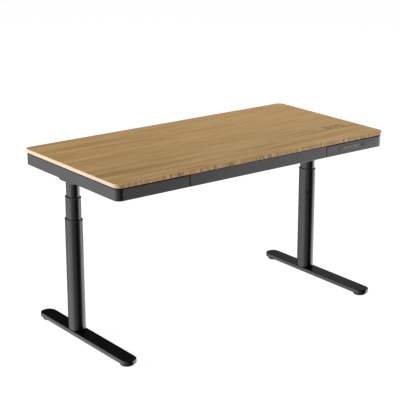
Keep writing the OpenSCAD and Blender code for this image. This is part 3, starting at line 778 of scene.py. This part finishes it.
def make_leg_bracket(side):
    """The sleeve that shows below the tray and the channel above it that carries the top."""
    node, column = f"leg_bracket_{side}", f"inner_column_{side}"
    low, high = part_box(node)
    centre = (middle(node)[0], middle(column)[1])
    length, corner, ease, chamfer = 0.122, 0.006, 0.0015, 0.008
    bottom, deck, width = low.z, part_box("tray_floor")[1].z, high.x - low.x
    profile = [((ease, chamfer), bottom), ((0, chamfer - ease), bottom + ease)]
    profile += [((0, 0), bottom + chamfer), ((0, 0), deck)]
    bm = stack(
        lambda cut_by: rounded_rect(width - 2 * cut_by[0], length - 2 * cut_by[1], corner, 0, 6),
        profile, centre,
    )
    sleeve = as_object(f"leg_sleeve_{side}", bm, ["tray"])
    play = 0.0012
    bore_w, bore_d = (size + play for size in span_of(column))
    bore = partial(stadium, bore_w, bore_d, steps=16)
    cut(sleeve, stack(bore, [(0, bottom - THROUGH), (0, deck + THROUGH)], centre))
    settle(sleeve, "tray_paint", "top", node)

    wall, floor_t, bend = 0.0025, 0.003, 0.004
    half = [(0, high.z), (0, deck + bend)]
    half += [(bend * (1 - cos(a)), deck + bend * (1 - sin(a))) for a in (pi / 8, pi / 4, 3 * pi / 8)]
    half.append((bend, deck))
    section = [(low.x + x, z) for x, z in half] + [(high.x - x, z) for x, z in reversed(half)]
    section += [(high.x - wall, high.z), (high.x - wall, deck + floor_t)]
    section += [(low.x + wall, deck + floor_t), (low.x + wall, high.z)]
    rail = loft([[(x, y, z) for x, z in section] for y in (low.y, high.y)])
    channel = as_object(f"leg_channel_{side}", rail, ["tray"])
    cut(channel, stack(bore, [(0, deck - THROUGH), (0, deck + THROUGH)], centre))
    settle(channel, "tray_paint", "top")


def make_tray_ribs():
    """Pressed stiffening beads under the tray's floor."""
    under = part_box("tray_floor")[0].z
    profile = [(0.006, under - 0.0013), (0.003, under - 0.0011), (0, under - 0.0004), (0, under + 0.0002)]
    bm = bmesh.new()
    for x in (-0.47, -0.235, 0.235, 0.47):
        stack(partial(stadium, 0.024, 0.4, steps=10), profile, (x, 0.02), bm=bm)
    piece("tray_beads", bm, "tray", "top")


# ---- touch panel, ports and inlet

SEGMENTS = {"1": "bc", "6": "afgedc", "7": "abc"}


def digit_bars(text, x, z, wide, tall, line):
    """Boxes of a seven-segment number in the plane of the panel: (low x, low z, high x, high z)."""
    half, gap, pitch = tall / 2, 0.00025, wide * 2.05
    inner, outer = line + gap, wide - line - gap
    bars = {
        "a": (inner, tall - line, outer, tall),
        "b": (wide - line, half + gap, wide, tall),
        "c": (wide - line, 0, wide, half - gap),
        "d": (inner, 0, outer, line),
        "e": (0, 0, line, half - gap),
        "f": (0, half + gap, line, tall),
        "g": (inner, half - line / 2, outer, half + line / 2),
    }
    for k, digit in enumerate(text):
        start = x + k * pitch
        for name in SEGMENTS[digit]:
            a, b, c, d = bars[name]
            yield start + a, z + b, start + c, z + d


def port_sizes():
    """Each socket's middle x, width, height, corner, wall, tongue's x, width and height, contacts."""
    low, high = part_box("usb_ports")
    large, small = low.x + 0.003, high.x - 0.0021
    return [
        (large, 0.006, 0.014, 0.0006, 0.0005, large + 0.0011, 0.0018, 0.011, 4),
        (small, 0.0042, 0.01, 0.002, 0.0004, small, 0.0007, 0.0066, 6),
    ]


def make_touch_panel():
    """The flush plate with its lit height display and five plain touch marks."""
    low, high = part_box("touch_panel")
    face = low.y
    ease, play = 0.001, 0.0004
    profile = [(ease + 0.002, face), (ease, face), (ease * 0.3, face + ease * 0.3), (0, face + ease)]
    profile.append((0, high.y))
    outline = partial(rounded_rect, high.x - low.x, high.z - low.z, 0.002, steps=4)
    bm = stack_back(outline, profile, front_middle("touch_panel"), flip=True)
    plate = as_object("touch_plate", bm, ["touch"])
    mid_z = front_middle("usb_ports")[1]
    for x, w, h, r, *_ in port_sizes():
        hole = partial(rounded_rect, w + play, h + play, r + play / 2, steps=6)
        tool = stack_back(hole, [(0, face - THROUGH), (0, high.y + THROUGH)], (x, mid_z))
        cut(plate, tool)
    settle(plate, "panel_gloss", "top", "touch_panel")

    front, back = face - 0.00015, face + 0.00015
    digits = bmesh.new()
    for a, b, c, d in digit_bars("761", low.x + 0.084, mid_z - 0.0065, 0.0068, 0.0138, 0.0018):
        box_mesh(digits, (a, front, b), (c, back, d))
    piece("height_display", digits, "digit", "top", bevel=0.00005, segments=1)

    icons = bmesh.new()
    start, pitch, reach = low.x + 0.033, 0.0105, 0.0042
    for k, up in ((0, 1), (1, -1)):
        x = start + k * pitch
        base = mid_z - up * reach * 0.7
        points = [(x - reach, base), (x + reach, base), (x, mid_z + up * reach)][::up]
        loft([[(px, y, pz) for px, pz in points] for y in (back, front)], bm=icons)
    bore = reach * 0.62
    ring = [(reach, back), (reach, front), (bore, front), (bore, back)]
    for k in (2, 3, 4):
        stack_back(partial(circle, steps=24), ring, (start + k * pitch, mid_z), closed=True, bm=icons)
    piece("touch_marks", icons, "icon", "top")


def make_ports():
    """Two upright USB sockets: plated shells, each with its tongue and contacts inside."""
    low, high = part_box("usb_ports")
    mid_z = front_middle("usb_ports")[1]
    back = high.y - 0.0006
    shells, tongues, contacts = bmesh.new(), bmesh.new(), bmesh.new()
    for x, w, h, r, wall, tongue_x, tongue_w, tongue_h, pads in port_sizes():
        profile = [(0, high.y), (0, low.y), (wall, low.y), (wall, back)]
        stack_back(partial(rounded_rect, w, h, r, steps=5), profile, (x, mid_z), bm=shells)
        face, far = tongue_x - tongue_w / 2, tongue_x + tongue_w / 2
        half = tongue_h / 2
        box_mesh(tongues, (face, low.y + 0.0025, mid_z - half), (far, back, mid_z + half))
        for k in range(pads):
            z = mid_z + (k - (pads - 1) / 2) * tongue_h / pads
            box_mesh(contacts, (face - 0.00015, low.y + 0.0032, z - 0.0004), (face, back, z + 0.0004))
    piece("port_shells", shells, "port", "top", "usb_ports")
    piece("port_tongues", tongues, "plastic", "top", bevel=0.00015)
    piece("port_contacts", contacts, "gold", "top", bevel=0.00005, segments=1)


def make_inlet():
    """Two-pole mains inlet: a rounded flange, a deep figure-eight recess and two round pins."""
    low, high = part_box("power_inlet")
    cx, cz = centre = front_middle("power_inlet")
    ease, body_in, lobe_x, lobe_r = 0.0006, 0.0021, 0.0032, 0.0043
    face, flange = high.y, high.y - 0.002
    profile = [(0.003, face), (ease, face), (0, face - ease), (0, flange), (body_in, flange)]
    profile += [(body_in, low.y), (body_in + 0.002, low.y)]
    bm = stack_back(partial(rounded_rect, high.x - low.x, high.z - low.z, 0.003, steps=5), profile, centre)
    inlet = as_object("mains_inlet", bm, ["plastic"])
    recess = []
    for sx, start in ((1, -90), (-1, 90)):
        recess += around(lobe_r, [radians(start + 15 * i) for i in range(13)], sx * lobe_x)
    cut(inlet, stack_back(lambda _: recess, [(0, face - 0.0158), (0, face + THROUGH)], centre))
    settle(inlet, "black_plastic", "top", "power_inlet")
    pins = bmesh.new()
    profile = [(0.0012, face - 0.0165), (0.0012, face - 0.0048), (0.0009, face - 0.0041)]
    profile.append((0.0004, face - 0.0038))
    for s in (-1, 1):
        stack_back(partial(circle, steps=16), profile, (cx + s * lobe_r, cz), bm=pins)
    settle(as_object("inlet_pins", pins, ["zinc"]), "port_metal", "top")


# ---- columns and feet

WALL = {"lower": 0.002, "middle": 0.0018, "inner": 0.002}
COLUMN_BODY = {"lower": "{}_base", "middle": "{}_middle", "inner": "top"}
SLOT_DROP = 0.1094
SLOT_TURN = radians(47.5)
SLOT_W = 0.006
SLOT_H = 0.021


def make_column(stage, side):
    """One tube of a leg: full-round front and back, with eased rims."""
    node = f"{stage}_column_{side}"
    low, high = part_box(node)
    wall, ease = WALL[stage], 0.0005
    profile = [(0, low.z + ease), (0, high.z - ease), (ease, high.z), (wall - ease, high.z)]
    profile += [(wall, high.z - ease), (wall, low.z + ease), (wall - ease, low.z), (ease, low.z)]
    bm = stack(partial(stadium, *span_of(node)), profile, middle(node), closed=True)
    tube = as_object(f"{stage}_tube_{side}", bm, ["column"])
    if stage == "lower":
        cut_slot(tube, low, high, side)
    settle(tube, "column_paint", COLUMN_BODY[stage].format(side), node)


def slot_ring(low, high, side, reach, inset):
    """The slot's outline in a lower tube's inner front corner, at a distance outside its surface."""
    r = (high.x - low.x) / 2
    turn = -SIDES[side] * SLOT_TURN
    out = Vector((sin(turn), -cos(turn), 0))
    across = Vector((-out.y, out.x, 0))
    centre = Vector(((low.x + high.x) / 2, low.y + r, high.z - SLOT_DROP)) + out * (r + reach)
    return [tuple(centre + across * a + Vector((0, 0, b))) for a, b in stadium(SLOT_W, SLOT_H, inset, 8)]


def cut_slot(tube, low, high, side):
    """The short upright slot, and a near-black plug a little below the surface that is painted shade inside
    the slot.
    """
    cut(tube, loft([slot_ring(low, high, side, reach, 0) for reach in (-0.005, 0.005)]))
    # The plug is a near-black sheet just inside the wall, standing in as painted shade in the slot.
    profile = [(-0.0019, 0.0002), (-0.0015, 0.0002), (-0.0013, 0.0005)]
    plug = loft([slot_ring(low, high, side, reach, inset) for reach, inset in profile])
    piece(f"slot_shade_plug_{side}", plug, "shade_plug", f"{side}_base")


def make_collar(stage, side):
    """Guide collar on a tube's upper end: a thin proud lip and the skirt inside the tube."""
    node = f"{stage}_collar_{side}"
    low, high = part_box(node)
    inner, body = ("middle", "base") if stage == "lower" else ("inner", "middle")
    w, d = span_of(node)
    lip_h, lip, ease, rim = 0.0035, 0.0012, 0.0009, 0.0006
    skirt = lip + WALL[stage]
    bore = (w - span_of(f"{inner}_column_{side}")[0]) / 2 - 0.00035
    under = high.z - lip_h
    profile = [(ease * 0.5, under), (0, under + ease * 0.5)]
    profile += arc(0, high.z - ease, ease, high.z, False, 3)
    profile += [(bore - rim, high.z), (bore, high.z - rim), (bore, low.z), (skirt, low.z), (skirt, under)]
    bm = stack(partial(stadium, w, d), profile, middle(node), closed=True)
    piece(f"{stage}_guide_ring_{side}", bm, "plastic", f"{side}_{body}", node)


def make_foot(side):
    """Pressed foot: softly rounded upper edge, hollow below, with a boss for each stud."""
    node = f"foot_{side}"
    low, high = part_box(node)
    wall, skin, ease, edge = 0.0025, 0.003, 0.0005, 0.003
    roof = high.z - skin
    profile = [(wall + 0.004, roof), (wall + 0.0015, roof), (wall, roof - 0.0015)]
    profile += [(wall, low.z + ease), (wall - ease, low.z), (ease, low.z), (0, low.z + ease)]
    profile += arc(0, high.z - edge, edge, high.z, False, 5)
    profile += [(edge + 0.002, high.z)]
    bm = stack(partial(stadium, *span_of(node), steps=32), profile, middle(node))
    outer, bore, tip, shoulder, top = 0.01, 0.0041, low.z + 0.003, low.z + 0.0035, roof + ease
    boss = [(bore, top), (bore, shoulder), (0.0045, tip), (0.0095, tip), (outer, shoulder), (outer, top)]
    for end in ("front", "back"):
        stack(circle, boss, middle(f"leveller_{end}_{side}"), bm=bm)
    piece(f"foot_shell_{side}", bm, "foot", f"{side}_base", node)


def screw_thread(bm, centre, r, depth, crest, low_z, high_z, steps=16):
    """A rod whose radius rises and falls along a helix, with plain ends."""
    per_crest = 4
    rows = max(2, round((high_z - low_z) / crest * per_crest))
    rings = []
    for k in range(rows + 1):
        z = low_z + (high_z - low_z) * k / rows
        fade = min(1, k / per_crest, (rows - k) / per_crest)
        ring = []
        for i in range(steps):
            a = 2 * pi * i / steps
            phase = ((z - low_z) / crest - i / steps) % 1
            reach = r - depth * fade * (1 - abs(2 * phase - 1))
            ring.append((centre[0] + reach * cos(a), centre[1] + reach * sin(a), z))
        rings.append(ring)
    loft(rings, bm=bm)


def make_leveller(end, side):
    """Levelling foot: ribbed rubber pad, steel hexagon and threaded stud."""
    node, body = f"leveller_{end}_{side}", f"{end}_{side}_leveller"
    low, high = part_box(node)
    centre = middle(node)
    r = (high.x - low.x) / 2
    profile = [(r - 0.006, 0), (r - 0.0012, 0), (r, 0.0012), (r, 0.003), (r - 0.0007, 0.0034)]
    profile += [(r - 0.0007, 0.004), (r, 0.0044), (r, 0.0066), (r - 0.0006, 0.0078)]
    profile += [(r - 0.0018, 0.0084), (r - 0.008, 0.0084)]
    bm = stack(partial(circle, steps=64), [(radius, low.z + z) for radius, z in profile], centre)
    piece(f"pad_{end}_{side}", bm, "rubber", body, node)
    stud = bmesh.new()
    bottom, top, ease = low.z + 0.0084, low.z + 0.0104, 0.0004
    hexagon = [(0.007, bottom), (0.0075, bottom + ease), (0.0075, top - ease), (0.007, top)]
    stack(partial(circle, steps=6), hexagon, centre, bm=stud)
    screw_thread(stud, centre, 0.004, 0.0006, 0.00125, top, high.z)
    piece(f"stud_{end}_{side}", stud, "zinc", body)


def screw_head(bm, centre, z, r, tall):
    """Domed socket head that hangs below its seat at z."""
    profile = [(1, 0), (1, 0.35), (0.92, 0.72), (0.72, 0.94), (0.52, 1), (0.42, 1), (0.42, 0.35)]
    profile.append((0.3, 0.3))
    rings = [(r * size, z - tall * t) for size, t in profile]
    stack(lambda radius: circle(radius, 24)[::-1], rings, centre, bm=bm)


def make_frame_screws():
    """Screws under the tray's flange, with the shanks that run up into the top."""
    low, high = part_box("frame_screws")
    panel_low, panel_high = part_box("back_panel")
    spots, same_level, apart = [], 0.0002, 0.01
    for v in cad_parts["frame_screws"].data.vertices:
        if abs(v.co.z - low.z) < same_level:
            x, y = v.co.x, v.co.y
            near = [s for s in spots if (s[0] / s[2] - x) ** 2 + (s[1] / s[2] - y) ** 2 < apart ** 2]
            if near:
                near[0][:] = near[0][0] + x, near[0][1] + y, near[0][2] + 1
            else:
                spots.append([x, y, 1])
    bm = bmesh.new()
    lower, upper = panel_low.z, panel_high.z - SHEET
    for sx, sy, count in spots:
        centre = (sx / count, sy / count)
        screw_head(bm, centre, lower, 0.004, 0.002)
        screw_thread(bm, centre, 0.002, 0.0003, 0.001, lower, lower + 0.007, steps=10)
        screw_head(bm, centre, upper, 0.004, 0.002)
        screw_thread(bm, centre, 0.002, 0.0004, 0.002, upper, high.z, steps=10)
    piece("tray_screws", bm, "black_bolt", "top", "frame_screws")


def make_foot_bolts(side):
    """Socket-head bolts that hold the column down, seen from under the foot."""
    node = f"foot_bolts_{side}"
    low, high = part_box(node)
    r, tall = 0.005, 0.004
    bm = bmesh.new()
    for x in (low.x + r, high.x - r):
        for y in (low.y + r, high.y - r):
            screw_head(bm, (x, y), low.z + tall, r, tall)
            screw_thread(bm, (x, y), 0.003, 0.0005, 0.001, low.z + tall, high.z, steps=12)
    piece(f"column_bolts_{side}", bm, "black_bolt", f"{side}_base", node)


# ---- drive inside the columns

def make_screws(side):
    """The solid lifting screw with its thread, and the brass nut."""
    screw, nut_node = f"drive_screw_{side}", f"lower_nut_{side}"
    low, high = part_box(screw)
    centre = middle(screw)
    bm = bmesh.new()
    neck = high.z - 0.0124
    screw_thread(bm, centre, 0.006, 0.0012, 0.006, low.z, neck)
    stack(partial(circle, steps=16), [(0.005, neck), (0.005, high.z)], centre, bm=bm)
    piece(f"solid_screw_{side}", bm, "steel", f"{side}_drive_screw", screw)
    low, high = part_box(nut_node)
    outer, bore, ease = 0.014, 0.0101, 0.0006
    profile = [(outer - ease, low.z), (outer, low.z + ease), (outer, high.z - ease), (outer - ease, high.z)]
    profile += [(bore + ease, high.z), (bore, high.z - ease), (bore, low.z + ease), (bore + ease, low.z)]
    nut = stack(circle, profile, centre, closed=True)
    piece(f"brass_nut_{side}", nut, "brass", f"{side}_base", nut_node)


def make_motor(side):
    """Motor and gearbox: a ribbed can, a stepped gearbox, a flange and a connector."""
    node, column = f"motor_{side}", f"inner_column_{side}"
    low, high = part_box(node)
    cx, cy = centre = middle(column)
    bottom, flange = low.z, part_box(column)[1].z
    can = bottom + 0.052
    profile = [(0.0055, bottom + 0.014), (0.0055, bottom), (0.016, bottom), (0.0175, bottom + 0.0015)]
    profile += [(0.0175, bottom + 0.022), (0.0168, bottom + 0.0235), (0.0175, bottom + 0.025)]
    profile += [(0.0175, can - 0.001), (0.0183, can)]
    for k in range(10):
        z = can + 0.004 + k * 0.011
        profile += [(0.019, z), (0.019, z + 0.007), (0.0184, z + 0.008), (0.0184, z + 0.01)]
    profile += [(0.019, flange - 0.006), (0.018, flange)]
    bm = stack(partial(circle, steps=40), profile, centre)
    top = flange + 0.003
    profile = [(0, flange), (0, top - 0.0005), (0.0005, top), (0.004, top)]
    stack(partial(stadium, *span_of(column), steps=20), profile, centre, bm=bm)
    piece(f"gear_motor_{side}", bm, "zinc", "top", node)
    plug = bmesh.new()
    box_mesh(plug, (cx - 0.007, cy - 0.006, top), (cx + 0.007, cy + 0.012, high.z))
    piece(f"motor_plug_{side}", plug, "plastic", "top", bevel=0.0008)


def make_control_box():
    """Controller case: a rounded body with a groove round it, and a row of ribs under it."""
    low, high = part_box("control_box")
    cx, cy = centre = middle("control_box")
    bottom, top, groove = low.z, high.z, 0.0008
    profile = [(0.01, bottom), (0.0025, bottom), (0.0007, bottom + 0.0008), (0, bottom + 0.0025)]
    profile += [(0, bottom + 0.02), (groove, bottom + 0.0204), (groove, bottom + 0.0216)]
    profile += [(0, bottom + 0.022), (0, top - 0.001), (0.001, top), (0.006, top)]
    bm = stack(partial(rounded_rect, *span_of("control_box"), 0.006, steps=6), profile, centre)
    rib = [(0.0008, bottom - 0.0008), (0, bottom - 0.0002), (0, bottom + 0.001)]
    for k in range(-9, 10):
        stack(partial(stadium, 0.004, 0.06, steps=6), rib, (cx + k * 0.012, cy), bm=bm)
    piece("controller_case", bm, "plastic", "top", "control_box")


def make_board_parts():
    """Four chips on the panel's circuit board: x and z of a corner, width, height and thickness."""
    low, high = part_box("circuit_board")
    bm = bmesh.new()
    for x, z, w, h, t in (
        (0.03, 0.006, 0.012, 0.012, 0.0016), (0.07, 0.005, 0.007, 0.009, 0.0012),
        (0.15, 0.004, 0.01, 0.014, 0.0018), (0.175, 0.012, 0.006, 0.005, 0.0025),
    ):
        box_mesh(bm, (low.x + x, high.y, low.z + z), (low.x + x + w, high.y + t, low.z + z + h))
    piece("board_chips", bm, "plastic", "top", bevel=0.0002)


def make_wiring():
    """The leads inside the tray as smooth round cables: motors, touch panel and mains inlet."""
    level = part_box("wiring")[1].z - 0.0025
    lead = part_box("tray_floor")[1].z + 0.005
    control_low, control_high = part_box("control_box")
    row = middle("control_box")[1]
    routes = []
    for side, s in SIDES.items():
        cx, cy = middle(f"inner_column_{side}")
        end_x = control_low.x if s < 0 else control_high.x
        routes.append([(cx, cy + 0.012), (cx, row - 0.025), (cx - s * 0.025, row), (end_x, row)])
        routes[-1] = [(x, y, level) for x, y in routes[-1]]
    board_low, board_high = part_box("circuit_board")
    panel_z, panel_x, start_y = board_low.z + 0.006, 0.5, row - 0.025
    routes.append([
        (control_high.x, start_y, level), (0.4, start_y, level), (0.43, 0.14, lead), (0.43, 0, lead),
        (panel_x, -0.285, lead), (panel_x, -0.312, panel_z), (panel_x, board_high.y, panel_z),
    ])
    inlet_x, inlet_z = front_middle("power_inlet")
    inlet_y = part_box("power_inlet")[0].y
    routes.append([
        (inlet_x, inlet_y, inlet_z), (inlet_x, 0.29, inlet_z), (0.1, 0.262, level),
        (0.1, control_high.y, level),
    ])
    for k, route in enumerate(routes):
        bm = bmesh.new()
        sweep(bm, soften(route, 0.012), 0.0025)
        piece(f"lead_{k + 1}", bm, "jacket", "top", *(["wiring"] if k == 0 else []))


def soften(route, r, steps=5):
    """The route with each corner replaced by a short curve."""
    points = [Vector(p) for p in route]
    soft = [points[0]]
    for a, b, c in zip(points, points[1:], points[2:]):
        start = b + (a - b).normalized() * r
        end = b + (c - b).normalized() * r
        for i in range(steps + 1):
            t = i / steps
            soft.append((1 - t) ** 2 * start + 2 * t * (1 - t) * b + t ** 2 * end)
    return soft + [points[-1]]


def sweep(bm, points, r, steps=14):
    """A round tube along points that never run straight up."""
    rings = []
    for i, p in enumerate(points):
        heading = (points[min(i + 1, len(points) - 1)] - points[max(i - 1, 0)]).normalized()
        u = heading.cross(Vector((0, 0, 1))).normalized()
        v = u.cross(heading)
        rings.append([tuple(p + r * (a * u + b * v)) for a, b in circle(1, steps)])
    loft(rings, bm=bm)


def make_slide_balls(side):
    """Ball rows between the members of a drawer slide."""
    low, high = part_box(f"slide_middle_{side}")
    outer_low, outer_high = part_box(f"slide_outer_{side}")
    wall, pitch = 0.0012, 0.012
    x = (low.x + high.x) / 2
    balls = bmesh.new()
    for z in ((low.z + outer_low.z + wall) / 2, (high.z + outer_high.z - wall) / 2):
        for k in range(12):
            spot = Matrix.Translation((x, low.y + 0.03 + k * pitch, z))
            bmesh.ops.create_icosphere(balls, subdivisions=2, radius=0.00085, matrix=spot)
    piece(f"slide_balls_{side}", balls, "steel", f"{side}_slide_member", angle=80)


KEPT = {"tray_floor": "tray", "front_beam": "tray", "rear_beam": "tray", "circuit_board": "board"}
KEPT_PAIRS = {
    "drawer_rail": "tray", "slide_outer": "zinc", "slide_middle": "zinc", "slide_inner": "zinc",
    "inner_glide": "glide", "middle_glide": "glide", "guide_tube": "steel", "support_tube": "zinc",
    "hollow_screw": "steel",
}


def dress_kept_nodes():
    """CAD nodes whose shape is right keep it and get their finish."""
    pairs = {f"{name}_{side}": look for name, look in KEPT_PAIRS.items() for side in SIDES}
    for node, look in {**KEPT, **pairs}.items():
        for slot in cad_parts[node].material_slots:
            slot.material = LOOK[look]


for make in (
    make_camera, make_light, make_floor, make_tabletop, make_top_mark, make_apron, make_drawer_front,
    make_drawer_box, make_tray_ribs, make_touch_panel, make_ports, make_inlet, make_frame_screws,
    make_control_box, make_board_parts, make_wiring,
):
    make()
for side in SIDES:
    make_leg_bracket(side)
    for stage in ("lower", "middle", "inner"):
        make_column(stage, side)
    for stage in ("lower", "middle"):
        make_collar(stage, side)
    make_foot(side)
    make_foot_bolts(side)
    make_screws(side)
    make_motor(side)
    make_slide_balls(side)
    for end in ("front", "back"):
        make_leveller(end, side)
dress_kept_nodes()
